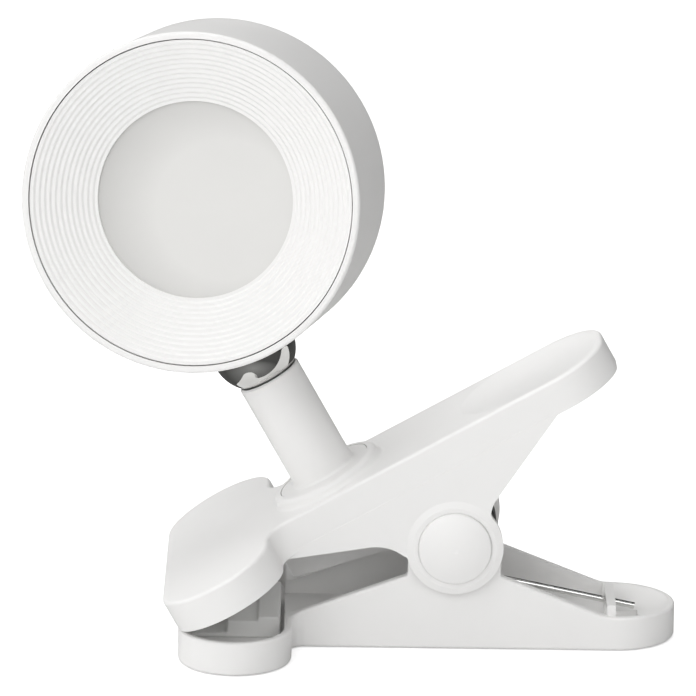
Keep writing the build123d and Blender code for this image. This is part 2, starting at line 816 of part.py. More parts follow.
# Socket cup that grips the ball and turns in the head's tube
with BuildPart() as socket_cup:
    with BuildSketch(socket.offset(cup_mouth)):
        Circle(cup_radius)
    extrude(amount=cup_top - cup_mouth)
    with BuildSketch(socket.offset(cup_shoulder)):
        Circle(cup_flange)
    extrude(amount=cup_flange_thickness)
    with Locations(socket):
        Sphere(cup_pocket, mode=Mode.SUBTRACT)
socket_cup.part.label = "socket_cup"
export_step(socket_cup.part, "parts/socket_cup.step")

# Head shell: a short wide drum with a ledge inside and a tube for the cup
with BuildPart() as head_shell:
    with BuildSketch(socket.offset(tube_end)):
        Circle(tube_outer)
    extrude(amount=-(tube_end + 2 * ball_sink + tube_wall))
    with BuildSketch(head.offset(back)):
        Circle(head_radius)
    extrude(amount=head_depth, mode=Mode.INTERSECT)
    with BuildSketch(head_section):
        with BuildLine():
            Polyline(
                (shell_inner, front),
                (shell_inner, ledge_front),
                (shell_inner - ledge_width, ledge_front),
                (shell_inner - ledge_width, ledge_back),
                (shell_inner, ledge_back),
                (shell_inner, cover_inner),
                (shell_inner + cover_lap, cover_inner),
                (shell_inner + cover_lap, back),
                (head_radius - shell_edge, back),
            )
            RadiusArc((head_radius - shell_edge, back), (head_radius, back + shell_edge), -shell_edge)
            Line((head_radius, back + shell_edge), (head_radius, front - shell_edge))
            RadiusArc((head_radius, front - shell_edge), (head_radius - shell_edge, front), -shell_edge)
            Line((head_radius - shell_edge, front), (shell_inner, front))
        make_face()
    revolve(axis=head_axis)
    with BuildSketch(socket.offset(tube_end)):
        Circle(tube_inner)
    extrude(amount=-(tube_end + 4 * ball_sink + tube_wall), mode=Mode.SUBTRACT)
head_shell.part.label = "head_shell"
export_step(head_shell.part, "parts/head_shell.step")

# Baffle ring: a stepped funnel around the light
stair_top = baffle_radius - baffle_top
stair_level = light_level + baffle_lip
step_run = (stair_top - light_radius) / baffle_steps
step_drop = (baffle_front - stair_level) / baffle_steps
with BuildPart() as baffle_ring:
    stairs = [(baffle_radius, baffle_front), (stair_top, baffle_front)]
    for i in range(baffle_steps):
        stairs.append((stair_top - (i + riser_share) * step_run, baffle_front - (i + 1) * step_drop))
        stairs.append((stair_top - (i + 1) * step_run, baffle_front - (i + 1) * step_drop))
    skirt_inner = baffle_radius - baffle_wall
    under_rise = step_drop / step_run
    under_start = stair_level - baffle_skin
    under_end = under_start + (skirt_inner - chamber_outer) * under_rise
    stairs += [
        (light_radius, light_level),
        (chamber_inner, light_level),
        (chamber_inner, frame_front),
        (chamber_outer, frame_front),
        (chamber_outer, under_start),
        (skirt_inner, under_end),
        (skirt_inner, ledge_front),
        (baffle_radius, ledge_front),
    ]
    with BuildSketch(head_section):
        with BuildLine():
            Polyline(*stairs, close=True)
        make_face()
    revolve(axis=head_axis)
baffle_ring.part.label = "baffle_ring"
export_step(baffle_ring.part, "parts/baffle_ring.step")

# Diffuser, reflector ring, light board and its light-emitting chips
with BuildPart() as diffuser:
    with BuildSketch(head.offset(diffuser_back)):
        Circle(diffuser_radius)
    extrude(amount=diffuser_thickness)
diffuser.part.label = "diffuser"
export_step(diffuser.part, "parts/diffuser.step")

with BuildPart() as reflector_ring:
    with BuildSketch(head.offset(board_front)):
        Circle(diffuser_radius)
        Circle(diffuser_radius - reflector_wall, mode=Mode.SUBTRACT)
    extrude(amount=chamber_depth)
reflector_ring.part.label = "reflector_ring"
export_step(reflector_ring.part, "parts/reflector_ring.step")

with BuildPart() as led_board:
    with BuildSketch(head.offset(frame_front)):
        Circle(diffuser_radius - part_gap)
    extrude(amount=board_thickness)
led_board.part.label = "led_board"
export_step(led_board.part, "parts/led_board.step")

with BuildPart() as led_chips:
    with BuildSketch(head.offset(board_front)):
        Rectangle(led_size, led_size)
        for i, ring_radius in enumerate(led_ring_radii):
            with PolarLocations(ring_radius, led_ring_chips * (i + 1)):
                Rectangle(led_size, led_size)
    extrude(amount=led_height)
led_chips.part.label = "led_chips"
export_step(led_chips.part, "parts/led_chips.step")

# Middle frame: carries the light board in front, the cell and the cover's screws behind
notch_half = tube_outer + part_gap + seat_gap
notch_top = -ball_inset + cup_top + seat_gap
with BuildPart() as mid_frame:
    with BuildSketch(head.offset(frame_back)):
        Circle(frame_radius)
    extrude(amount=ledge_back - frame_back)
    with BuildSketch(head.offset(frame_front)):
        Circle(frame_radius - frame_rim)
    extrude(amount=ledge_back, mode=Mode.SUBTRACT)
    with BuildSketch(head.offset(frame_back)):
        with Locations(*pillar_places):
            Circle(pillar_radius)
    extrude(amount=pillar_end - frame_back)
    with BuildSketch(head.offset(frame_back)):
        with Locations((saddle_spacing / 2, cell_y), (-saddle_spacing / 2, cell_y)):
            Rectangle(saddle_thickness, 2 * saddle_reach)
    extrude(amount=cell_z - frame_back)
    cell_place = head.from_local_coords((0, cell_y, cell_z))
    cell_plane = Plane(origin=cell_place, x_dir=socket_dir, z_dir=head_right)
    with BuildSketch(cell_plane):
        Circle(cell_radius + press_gap)
    extrude(amount=cell_length, both=True, mode=Mode.SUBTRACT)
    with BuildSketch(head.offset(ledge_back)):
        with Locations((0, notch_top - head_radius / 2)):
            Rectangle(2 * notch_half, head_radius)
    extrude(amount=frame_back - ledge_back, mode=Mode.SUBTRACT)
    with BuildSketch(head.offset(frame_front)):
        with Locations(*lead_places):
            Circle(lead_radius + seat_gap)
    extrude(amount=-frame_thickness, mode=Mode.SUBTRACT)
    with BuildSketch(head.offset(pillar_end)):
        with Locations(*pillar_places):
            Circle(screw_hole)
    extrude(amount=cover_screw_length, mode=Mode.SUBTRACT)
mid_frame.part.label = "mid_frame"
export_step(mid_frame.part, "parts/mid_frame.step")

# Rechargeable cell lying across the head
with BuildPart() as battery_cell:
    with BuildSketch(cell_plane):
        Circle(cell_radius)
    extrude(amount=cell_length / 2, both=True)
    with BuildSketch(cell_plane.offset(cell_length / 2)):
        Circle(cell_radius / 3)
    extrude(amount=cell_button)
battery_cell.part.label = "battery_cell"
export_step(battery_cell.part, "parts/battery_cell.step")

# Control board with its larger components
with BuildPart() as control_board:
    with BuildSketch(head.offset(control_back)):
        with Locations((0, control_y)):
            RectangleRounded(control_length, control_width, board_corner)
        with Locations(*standoff_places):
            Circle(screw_hole, mode=Mode.SUBTRACT)
    extrude(amount=board_thickness)
    with BuildSketch(head.offset(control_front)):
        with Locations(*[(x, control_y + y) for x, y in chip_places]):
            Rectangle(chip_size, chip_size)
    extrude(amount=chip_height)
control_board.part.label = "control_board"
export_step(control_board.part, "parts/control_board.step")

# Push switch and charging socket on the control board's rear side
with BuildPart() as tact_switch:
    with BuildSketch(head.offset(control_back)):
        Rectangle(switch_size, switch_size)
    extrude(amount=-switch_height)
    with BuildSketch(head.offset(control_back - switch_height)):
        Circle(switch_stem_radius)
    extrude(amount=-switch_stem)
tact_switch.part.label = "tact_switch"
export_step(tact_switch.part, "parts/tact_switch.step")

port_depth = control_back - back - port_sink
with BuildPart() as usb_socket:
    with BuildSketch(head.offset(control_back)):
        with Locations((port_x, port_y)):
            SlotOverall(port_width, port_thickness)
    extrude(amount=-port_depth)
    with BuildSketch(head.offset(control_back - port_depth)):
        with Locations((port_x, port_y)):
            SlotOverall(port_width - 2 * port_wall, port_thickness - 2 * port_wall)
            SlotOverall(tongue_width, tongue_thickness, mode=Mode.SUBTRACT)
    extrude(amount=port_depth - board_thickness, mode=Mode.SUBTRACT)
usb_socket.part.label = "usb_socket"
export_step(usb_socket.part, "parts/usb_socket.step")

# Leads between the cell, the two boards and the light
with BuildPart() as led_leads:
    with BuildSketch(head.offset(control_front + play)):
        with Locations(*lead_places):
            Circle(lead_radius)
    extrude(amount=frame_front - control_front - 2 * play)
led_leads.part.label = "led_leads"
export_step(led_leads.part, "parts/led_leads.step")

with BuildPart() as battery_leads:
    lead_level = control_front + lead_radius + play
    for side in (1, -1):
        lead_start = cell_length / 2 + (cell_button if side > 0 else 0) + play
        board_edge = control_y + control_width / 2
        points = [
            (side * lead_start, cell_y, cell_z),
            (side * (lead_start + lead_bulge), cell_y - lead_bulge / 2, cell_z),
            (side * (lead_start + lead_bulge / 2), cell_y - cell_radius, (cell_z + lead_level) / 2),
            (side * (control_length / 2 - lead_inset), board_edge - lead_inset, lead_level),
            (side * (control_length / 2 - lead_end), board_edge - lead_end / 2, lead_level),
        ]
        places = [head.from_local_coords(p) for p in points]
        with BuildLine():
            Spline(*places, tangents=(head_right * side, head_right * -side))
        with BuildSketch(Plane(origin=places[0], z_dir=head_right * side)):
            Circle(lead_radius)
        sweep()
battery_leads.part.label = "battery_leads"
export_step(battery_leads.part, "parts/battery_leads.step")

# Rear cover with the button's hole, the charging slot, standoffs and screw bosses
with BuildPart() as rear_cover:
    with BuildSketch(head.offset(back)):
        Circle(shell_inner + cover_lap - play)
    extrude(amount=cover_thickness)
    with BuildSketch(head.offset(cover_inner)):
        with Locations(*standoff_places):
            Circle(standoff_radius)
    extrude(amount=control_lift)
    with BuildSketch(head.offset(cover_inner)):
        with Locations(*pillar_places):
            Circle(screw_boss_radius)
    extrude(amount=screw_boss_height)
    with BuildSketch(head.offset(back)):
        Circle(button_radius + seat_gap)
        with Locations((port_x, port_y)):
            SlotOverall(port_width + 2 * seat_gap, port_thickness + 2 * seat_gap)
    extrude(amount=cover_thickness, mode=Mode.SUBTRACT)
    with BuildSketch(head.offset(back)):
        with Locations(*pillar_places):
            Circle(screw_hole + part_gap)
    extrude(amount=cover_thickness + screw_boss_height, mode=Mode.SUBTRACT)
    with BuildSketch(head.offset(back)):
        with Locations(*pillar_places):
            Circle(screw_head_radius + seat_gap)
    extrude(amount=screw_head_height + play, mode=Mode.SUBTRACT)
    with BuildSketch(head.offset(control_back)):
        with Locations(*standoff_places):
            Circle(screw_hole)
    extrude(amount=-board_screw_length, mode=Mode.SUBTRACT)
rear_cover.part.label = "rear_cover"
export_step(rear_cover.part, "parts/rear_cover.step")

# Screws of the cover and of the control board
cover_seat = back + screw_head_height + play
cover_place = head.from_local_coords((0, 0, cover_seat))
cover_face = Plane(origin=cover_place, x_dir=head_right * -1, z_dir=facing * -1)
cover_screws = screws(cover_face, [(-x, y) for x, y in pillar_places], cover_screw_length)
cover_screws.part.label = "cover_screws"
export_step(cover_screws.part, "parts/cover_screws.step")

board_screws = screws(head.offset(control_front), standoff_places, board_screw_length)
board_screws.part.label = "board_screws"
export_step(board_screws.part, "parts/board_screws.step")

# Power button: pressed from behind, it moves toward the switch
with BuildPart() as power_button:
    with BuildSketch(head.offset(back - button_proud)):
        Circle(button_radius)
    extrude(amount=cover_thickness + button_proud + play)
    outer_face = power_button.faces().sort_by(head_axis)[0]
    fillet(outer_face.edges(), button_edge)
    with BuildSketch(head.offset(cover_inner + play)):
        Circle(button_flange)
    extrude(amount=button_flange_thickness)
power_button.part.label = "power_button"
export_step(power_button.part, "parts/power_button.step")

print("lever tilt", round(degrees(lever_tilt), 3), "ball", ball_centre, "head", head_centre)
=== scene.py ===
"""Looks of the clip-on reading lamp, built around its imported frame. Metres, +Z up."""

import json
from math import cos, radians, sin

import bmesh
import bpy
from mathutils import Matrix, Vector


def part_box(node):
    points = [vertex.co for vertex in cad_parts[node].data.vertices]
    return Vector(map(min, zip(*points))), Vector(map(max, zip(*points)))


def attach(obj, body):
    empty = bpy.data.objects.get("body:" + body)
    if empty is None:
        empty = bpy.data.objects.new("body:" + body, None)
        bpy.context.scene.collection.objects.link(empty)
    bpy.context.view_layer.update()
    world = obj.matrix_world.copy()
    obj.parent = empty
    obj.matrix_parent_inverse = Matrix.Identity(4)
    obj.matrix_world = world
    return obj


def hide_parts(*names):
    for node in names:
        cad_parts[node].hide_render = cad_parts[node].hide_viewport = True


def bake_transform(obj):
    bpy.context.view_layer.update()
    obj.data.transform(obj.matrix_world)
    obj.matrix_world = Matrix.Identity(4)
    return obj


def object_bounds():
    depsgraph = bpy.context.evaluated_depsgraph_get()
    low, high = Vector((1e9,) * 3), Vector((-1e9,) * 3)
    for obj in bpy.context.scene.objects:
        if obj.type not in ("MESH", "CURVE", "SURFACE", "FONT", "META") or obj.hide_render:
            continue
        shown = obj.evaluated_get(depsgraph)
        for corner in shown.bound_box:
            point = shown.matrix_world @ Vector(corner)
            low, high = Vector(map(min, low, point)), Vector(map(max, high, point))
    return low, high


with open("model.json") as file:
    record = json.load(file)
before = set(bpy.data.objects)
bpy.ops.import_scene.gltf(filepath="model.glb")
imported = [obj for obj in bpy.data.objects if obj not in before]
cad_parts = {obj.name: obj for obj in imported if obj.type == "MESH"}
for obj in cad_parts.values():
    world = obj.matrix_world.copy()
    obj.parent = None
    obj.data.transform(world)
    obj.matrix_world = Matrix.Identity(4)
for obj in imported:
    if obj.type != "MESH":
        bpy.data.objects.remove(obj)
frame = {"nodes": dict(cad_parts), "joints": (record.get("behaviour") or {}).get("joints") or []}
cad_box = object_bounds()
nodes = frame["nodes"]
joints = {joint["name"]: joint for joint in frame["joints"]}
mm = 0.001


def middle_of(node_name):
    """The middle of a node's box at rest."""
    low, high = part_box(node_name)
    return (low + high) / 2


# Places and directions of the assembly, from its joints and boxes
pivot = Vector(joints["clamp_open"]["pos_m"])
lever_up = Vector(joints["head_pan"]["axis"])
lever_along = Vector((lever_up.z, 0, -lever_up.x))
facing = Vector(joints["button_press"]["axis"])
head_up = Vector(joints["head_spin"]["axis"])
head_right = head_up.cross(facing)
head_centre = middle_of("head_shell")
window_depth = (middle_of("diffuser") - head_centre).dot(facing)

# Camera at the photograph's angle
camera_azimuth = radians(-0.3274)
camera_elevation = radians(15.416)
camera_roll = radians(0.8351)
camera_place = Vector((-0.032195, -1.248785, 0.412058))
camera_lens = 292.03
camera_sensor = 36.0

# Studio floor, with the tones that it has in the chromed ball: painted dark shade, and a painted pool of
# light
floor_reach = 4.0
floor_sides = 96
floor_gap = 0.2 * mm
floor_tone = (0.9, 0.9, 0.9)
floor_roughness = 0.9
floor_gloss = 0.1
floor_lift = 0.5
mirrored_floor = (0.08, 0.08, 0.078)
mirrored_painted_light = (0.30, 0.30, 0.295)
painted_light_place = Vector((-0.045, -0.080, 0))
painted_light_reach = 0.12

# Soft boxes by their place, size and power, and the glow of the room's walls
soft_boxes = {
    "key_light": (Vector((-0.75, -1.25, 1.05)), 0.9, 5.8),
    "right_light": (Vector((0.6, -1.2, 0.9)), 0.9, 5.6),
    "front_light": (Vector((-0.2, -1.7, 0.55)), 0.9, 3.7),
    "top_light": (Vector((-0.2, -0.15, 1.6)), 1.2, 10.0),
}
room_left = 1.15
room_back = 1.1
mirrored_room = 0.10

# Grip pads: their steps, rounded edges, and the area over which a face stays flat
pad_tread_lengths = (8.0 * mm, 7.0 * mm, 5.2 * mm)
lower_pad_steps = (1.1 * mm, 4.0 * mm, 5.0 * mm)
upper_pad_steps = (1.4 * mm, 3.2 * mm, 4.6 * mm)
pad_edge = 0.45 * mm
pad_edge_segments = 4
sharp_angle = radians(30)
flat_area = 24 * mm * mm

# Where fingers smooth the plastic, how far around, and by how much less roughness
dish_place = pivot + lever_along * 33.5 * mm + lever_up * 23 * mm
dish_reach = 19 * mm
deck_place = Vector((44 * mm, 0, 8 * mm))
deck_reach = 16 * mm
button_place = middle_of("power_button")
button_reach = 7 * mm
touch_polish = 0.14

# Window of the light: painted shade, which leaves its tone full at a spot beside the middle and darkens it
# toward the far rim, down to this share
painted_shade_free_spot = head_centre + facing * window_depth + head_right * 6 * mm - head_up * 4 * mm
painted_shade_start = 16 * mm
painted_shade_end = 31 * mm
painted_shade_rim_share = 0.76
lens_dot = 0.45 * mm
lens_relief = 0.02 * mm

# Grain and relief of the finishes
opal_grain = 0.2 * mm
rubber_grain = 0.25 * mm
rubber_relief = 0.03 * mm
lead_grain = 0.3 * mm
lead_relief = 0.01 * mm
lead_seam = 0.1 * mm
track_relief = 0.03 * mm

# Broader features of the finishes, counted by the metre
plastic_mottle = 55.0
opal_mottle = 40.0
rubber_mottle = 120.0
lead_mottle = 150.0
metal_lines = 900.0
metal_haze = 90.0
finger_prints = 320.0
board_tracks = 420.0

# How strongly hairlines and lens dots show, and how much the polish of a finish varies
line_strength = 0.4
dot_strength = 0.5
plastic_variation = 0.05
lead_variation = 0.15
polished_share = 0.6
hazy_share = 1.5


def shader_group(name, inputs, outputs):
    """A shader node group with these inputs and float outputs, and its input and output nodes."""
    tree = bpy.data.node_groups.new(name, "ShaderNodeTree")
    for label, kind in inputs:
        tree.interface.new_socket(label, in_out="INPUT", socket_type=kind)
    for label in outputs:
        tree.interface.new_socket(label, in_out="OUTPUT", socket_type="NodeSocketFloat")
    return tree, tree.nodes.new("NodeGroupInput"), tree.nodes.new("NodeGroupOutput")


def node(tree, kind, values=None, **settings):
    """A new node with its settings and the values of its unlinked inputs."""
    made = tree.nodes.new(kind)
    for label, value in settings.items():
        setattr(made, label, value)
    for label, value in (values or {}).items():
        made.inputs[label].default_value = value
    return made


def spread(tree, mask, low, high, start=0.3, stop=0.7, ease="LINEAR"):
    """The mask, from start to stop, as a value from low to high."""
    values = {"From Min": start, "From Max": stop, "To Min": low, "To Max": high}
    made = node(tree, "ShaderNodeMapRange", values, interpolation_type=ease)
    tree.links.new(mask, made.inputs["Value"])
    return made.outputs["Result"]


def moulded_grain_group():
    """Fine spark-eroded grain of a mould, and a broad soft mottle."""
    inputs = [("Grain Scale", "NodeSocketFloat"), ("Mottle Scale", "NodeSocketFloat")]
    tree, given, out = shader_group("moulded_grain", inputs, ["Grain", "Mottle"])
    place = node(tree, "ShaderNodeTexCoord")
    grain = node(tree, "ShaderNodeTexNoise", {"Detail": 2.0, "Roughness": 0.6})
    mottle = node(tree, "ShaderNodeTexNoise", {"Detail": 3.0, "Roughness": 0.5})
    for texture, scale, result in ((grain, "Grain Scale", "Grain"), (mottle, "Mottle Scale", "Mottle")):
        tree.links.new(place.outputs["Object"], texture.inputs["Vector"])
        tree.links.new(given.outputs[scale], texture.inputs["Scale"])
        tree.links.new(texture.outputs["Fac"], out.inputs[result])
    return tree


def handled_group():
    """Where fingers have smoothed the surface: a soft patch around a centre, broken up a little."""
    inputs = [("Centre", "NodeSocketVector"), ("Reach", "NodeSocketFloat")]
    tree, given, out = shader_group("handled", inputs, ["Polish"])
    place = node(tree, "ShaderNodeTexCoord")
    apart = node(tree, "ShaderNodeVectorMath", operation="DISTANCE")
    share = node(tree, "ShaderNodeMath", operation="DIVIDE")
    prints = node(tree, "ShaderNodeTexNoise", {"Scale": finger_prints, "Detail": 4.0, "Roughness": 0.6})
    both = node(tree, "ShaderNodeMath", operation="MULTIPLY")
    tree.links.new(place.outputs["Object"], apart.inputs[0])
    tree.links.new(given.outputs["Centre"], apart.inputs[1])
    tree.links.new(apart.outputs["Value"], share.inputs[0])
    tree.links.new(given.outputs["Reach"], share.inputs[1])
    tree.links.new(place.outputs["Object"], prints.inputs["Vector"])
    fade = spread(tree, share.outputs[0], 1.0, 0.0, start=0.35, stop=1.0, ease="SMOOTHSTEP")
    uneven = spread(tree, prints.outputs["Fac"], 0.55, 1.0)
    tree.links.new(fade, both.inputs[0])
    tree.links.new(uneven, both.inputs[1])
    tree.links.new(both.outputs[0], out.inputs["Polish"])
    return tree


def hairline_group():
    """Fine hairlines that run mostly one way, with a few stronger ones, and a faint haze."""
    inputs = [("Along", "NodeSocketVector"), ("Scale", "NodeSocketFloat")]
    tree, given, out = shader_group("hairlines", inputs, ["Lines", "Haze"])
    place = node(tree, "ShaderNodeTexCoord")
    stretch = node(tree, "ShaderNodeVectorMath", operation="MULTIPLY")
    fine = node(tree, "ShaderNodeTexNoise", {"Detail": 4.0, "Roughness": 0.7})
    haze = node(tree, "ShaderNodeTexNoise", {"Scale": metal_haze, "Detail": 3.0})
    tree.links.new(place.outputs["Object"], stretch.inputs[0])
    tree.links.new(given.outputs["Along"], stretch.inputs[1])
    tree.links.new(stretch.outputs["Vector"], fine.inputs["Vector"])
    tree.links.new(given.outputs["Scale"], fine.inputs["Scale"])
    strong = spread(tree, fine.outputs["Fac"], 0.0, 1.0, start=0.45, stop=0.62)
    tree.links.new(strong, out.inputs["Lines"])
    tree.links.new(place.outputs["Object"], haze.inputs["Vector"])
    tree.links.new(haze.outputs["Fac"], out.inputs["Haze"])
    return tree


moulded_grain = moulded_grain_group()
handled = handled_group()
hairlines = hairline_group()


def new_material(name):
    """A node material, its tree and its shader."""
    material = bpy.data.materials.new(name)
    material.use_nodes = True
    tree = material.node_tree
    return material, tree, tree.nodes["Principled BSDF"]


def fill_group(tree, group, values):
    """A placed group whose inputs hold these values."""
    return node(tree, "ShaderNodeGroup", values, node_tree=group)


def mould_grain(tree, grain_size, mottle_scale):
    """The mould's grain, of that size, with its mottle."""
    return fill_group(tree, moulded_grain, {"Grain Scale": 1 / grain_size, "Mottle Scale": mottle_scale})


def two_tone(tree, mask, tone, shade):
    """A colour that goes from tone to shade with the mask."""
    mix = node(tree, "ShaderNodeMix", {"A": (*tone, 1), "B": (*shade, 1)}, data_type="RGBA")
    tree.links.new(mask, mix.inputs["Factor"])
    return mix.outputs["Result"]


def distance_from(tree, point):
    """How far the surface lies from a point, in metres."""
    place = node(tree, "ShaderNodeTexCoord")
    apart = node(tree, "ShaderNodeVectorMath", {1: point}, operation="DISTANCE")
    tree.links.new(place.outputs["Object"], apart.inputs[0])
    return apart.outputs["Value"]


def bump(tree, shader, height, depth, strength=1.0):
    """Surface relief of that depth, in metres, on the shader's normal."""
    made = node(tree, "ShaderNodeBump", {"Strength": strength, "Distance": depth})
    tree.links.new(height, made.inputs["Height"])
    tree.links.new(made.outputs["Normal"], shader.inputs["Normal"])


def moulded_plastic(name, tone, shade, roughness, grain_size=0.35 * mm, grain_depth=0.012 * mm, touch=None):
    """Satin moulded plastic with mould grain, a faint mottle and, where touched, a smoother patch."""
    material, tree, shader = new_material(name)
    grain = mould_grain(tree, grain_size, plastic_mottle)
    tree.links.new(two_tone(tree, grain.outputs["Mottle"], tone, shade), shader.inputs["Base Color"])
    smooth, dull = roughness - plastic_variation, roughness + plastic_variation
    rough = spread(tree, grain.outputs["Mottle"], smooth, dull)
    if touch:
        patch = fill_group(tree, handled, {"Centre": touch[0], "Reach": touch[1]})
        smoother = node(tree, "ShaderNodeMath", {1: -touch_polish}, operation="MULTIPLY_ADD")
        tree.links.new(patch.outputs["Polish"], smoother.inputs[0])
        tree.links.new(rough, smoother.inputs[2])
        rough = smoother.outputs[0]
    tree.links.new(rough, shader.inputs["Roughness"])
    bump(tree, shader, grain.outputs["Grain"], grain_depth)
    return material


def bright_metal(name, tone, shade, roughness, along=(1, 1, 1), line_depth=0.002 * mm):
    """Metal with hairlines and a faint haze in its polish."""
    material, tree, shader = new_material(name)
    shader.inputs["Metallic"].default_value = 1.0
    lines = fill_group(tree, hairlines, {"Along": along, "Scale": metal_lines})
    tree.links.new(two_tone(tree, lines.outputs["Haze"], tone, shade), shader.inputs["Base Color"])
    polish = spread(tree, lines.outputs["Haze"], polished_share * roughness, hazy_share * roughness)
    tree.links.new(polish, shader.inputs["Roughness"])
    bump(tree, shader, lines.outputs["Lines"], line_depth, line_strength)
    return material


def frosted_opal(name, tone, shade, roughness):
    """Opal sheet of the light's window: tiny lens dots, and painted shade that makes it a little darker
    toward one side of its rim.
    """
    material, tree, shader = new_material(name)
    grain = mould_grain(tree, opal_grain, opal_mottle)
    # Painted shade: the tone darkens away from a spot right of and below the middle, most at the upper left
    # rim
    clear = spread(tree, distance_from(tree, painted_shade_free_spot), 1.0, painted_shade_rim_share, painted_shade_start, painted_shade_end)
    dimmed = node(tree, "ShaderNodeMix", {"Factor": 1.0}, data_type="RGBA", blend_type="MULTIPLY")
    tree.links.new(two_tone(tree, grain.outputs["Mottle"], tone, shade), dimmed.inputs["A"])
    tree.links.new(clear, dimmed.inputs["B"])
    tree.links.new(dimmed.outputs["Result"], shader.inputs["Base Color"])
    tree.links.new(spread(tree, grain.outputs["Grain"], *roughness), shader.inputs["Roughness"])
    place = node(tree, "ShaderNodeTexCoord")
    dots = node(tree, "ShaderNodeTexVoronoi", {"Scale": 1 / lens_dot, "Randomness": 0.25})
    tree.links.new(place.outputs["Object"], dots.inputs["Vector"])
    bump(tree, shader, dots.outputs["Distance"], lens_relief, dot_strength)
    return material


def soft_rubber(name, tone, shade, roughness):
    """Soft moulded rubber with a dry matt skin."""
    material, tree, shader = new_material(name)
    grain = mould_grain(tree, rubber_grain, rubber_mottle)
    tree.links.new(two_tone(tree, grain.outputs["Mottle"], tone, shade), shader.inputs["Base Color"])
    tree.links.new(spread(tree, grain.outputs["Grain"], *roughness), shader.inputs["Roughness"])
    bump(tree, shader, grain.outputs["Grain"], rubber_relief)
    return material


def circuit_board(name, mask_tone, track_tone, roughness):
    """Solder mask over tracks that stand out a little."""
    material, tree, shader = new_material(name)
    place = node(tree, "ShaderNodeTexCoord")
    cells = node(tree, "ShaderNodeTexVoronoi", {"Scale": board_tracks, "Randomness": 0.6},
                 feature="DISTANCE_TO_EDGE")
    tree.links.new(place.outputs["Object"], cells.inputs["Vector"])
    track = spread(tree, cells.outputs["Distance"], 1.0, 0.0, start=0.03, stop=0.06)
    tree.links.new(two_tone(tree, track, mask_tone, track_tone), shader.inputs["Base Color"])
    tree.links.new(spread(tree, track, *roughness, start=0.0, stop=1.0), shader.inputs["Roughness"])
    bump(tree, shader, track, track_relief)
    return material


def lead_insulation(name, tone_right, tone_left, roughness):
    """Insulated leads: one colour on the head's right, another on its left."""
    material, tree, shader = new_material(name)
    place = node(tree, "ShaderNodeTexCoord")
    side = node(tree, "ShaderNodeVectorMath", {1: head_right}, operation="DOT_PRODUCT")
    tree.links.new(place.outputs["Object"], side.inputs[0])
    middle = head_right.dot(head_centre)
    left = spread(tree, side.outputs["Value"], 1.0, 0.0, middle - lead_seam, middle + lead_seam)
    grain = mould_grain(tree, lead_grain, lead_mottle)
    tree.links.new(two_tone(tree, left, tone_right, tone_left), shader.inputs["Base Color"])
    rough = spread(tree, grain.outputs["Mottle"], roughness, roughness + lead_variation)
    tree.links.new(rough, shader.inputs["Roughness"])
    bump(tree, shader, grain.outputs["Grain"], lead_relief)
    return material


# Finishes of the pieces: tone, shade and roughness, the last as one value or a range
white = (0.86, 0.855, 0.845)
white_shade = (0.84, 0.835, 0.825)
board_gloss = (0.28, 0.38)

head_white = moulded_plastic("head_white", white, (0.845, 0.84, 0.83), 0.42)
cover_white = moulded_plastic("cover_white", white, white_shade, 0.46)
button_white = moulded_plastic("button_white", (0.85, 0.845, 0.835), (0.83, 0.825, 0.815), 0.38,
                               touch=(button_place, button_reach))
baffle_white = moulded_plastic("baffle_white", (0.865, 0.86, 0.85), (0.855, 0.85, 0.84), 0.36,
                               grain_size=0.3 * mm, grain_depth=0.006 * mm)
upper_white = moulded_plastic("upper_white", white, white_shade, 0.45, touch=(dish_place, dish_reach))
lower_white = moulded_plastic("lower_white", white, white_shade, 0.45, touch=(deck_place, deck_reach))
post_white = moulded_plastic("post_white", white, white_shade, 0.40)
cap_white = moulded_plastic("cap_white", (0.87, 0.865, 0.855), (0.85, 0.845, 0.835), 0.40)
spool_white = moulded_plastic("spool_white", (0.80, 0.80, 0.78), (0.76, 0.76, 0.74), 0.5)
frame_white = moulded_plastic("frame_white", (0.82, 0.82, 0.80), (0.79, 0.79, 0.77), 0.5)
reflector_white = moulded_plastic("reflector_white", (0.90, 0.90, 0.89), (0.88, 0.88, 0.87), 0.35)
cup_dark = moulded_plastic("cup_dark", (0.06, 0.06, 0.065), (0.045, 0.045, 0.05), 0.5)
switch_dark = moulded_plastic("switch_dark", (0.05, 0.05, 0.05), (0.035, 0.035, 0.035), 0.45)
chip_yellow = moulded_plastic("chip_yellow", (0.85, 0.68, 0.20), (0.78, 0.58, 0.14), 0.3)
sleeve_blue = moulded_plastic("sleeve_blue", (0.05, 0.17, 0.32), (0.04, 0.14, 0.28), 0.3)
window_opal = frosted_opal("frosted_opal", (0.745, 0.74, 0.72), (0.705, 0.70, 0.685), (0.38, 0.52))
ball_chrome = bright_metal("ball_chrome", (0.72, 0.72, 0.71), (0.68, 0.68, 0.67), 0.045,
                           line_depth=0.0004 * mm)
wire_steel = bright_metal("wire_steel", (0.80, 0.80, 0.79), (0.70, 0.70, 0.69), 0.16, along=(0.08, 1, 1))
pin_steel = bright_metal("pin_steel", (0.62, 0.62, 0.62), (0.54, 0.54, 0.54), 0.25, along=(1, 0.08, 1))
zinc_steel = bright_metal("zinc_steel", (0.60, 0.62, 0.66), (0.58, 0.56, 0.50), 0.30)
port_steel = bright_metal("port_steel", (0.68, 0.68, 0.67), (0.60, 0.60, 0.59), 0.22)
pad_rubber = soft_rubber("pad_rubber", (0.92, 0.92, 0.905), (0.89, 0.89, 0.875), (0.62, 0.82))
light_mask = circuit_board("light_mask", (0.84, 0.84, 0.82), (0.88, 0.87, 0.84), board_gloss)
control_mask = circuit_board("control_mask", (0.02, 0.16, 0.06), (0.04, 0.26, 0.10), board_gloss)
lead_cover = lead_insulation("lead_cover", (0.55, 0.03, 0.02), (0.02, 0.02, 0.02), 0.4)

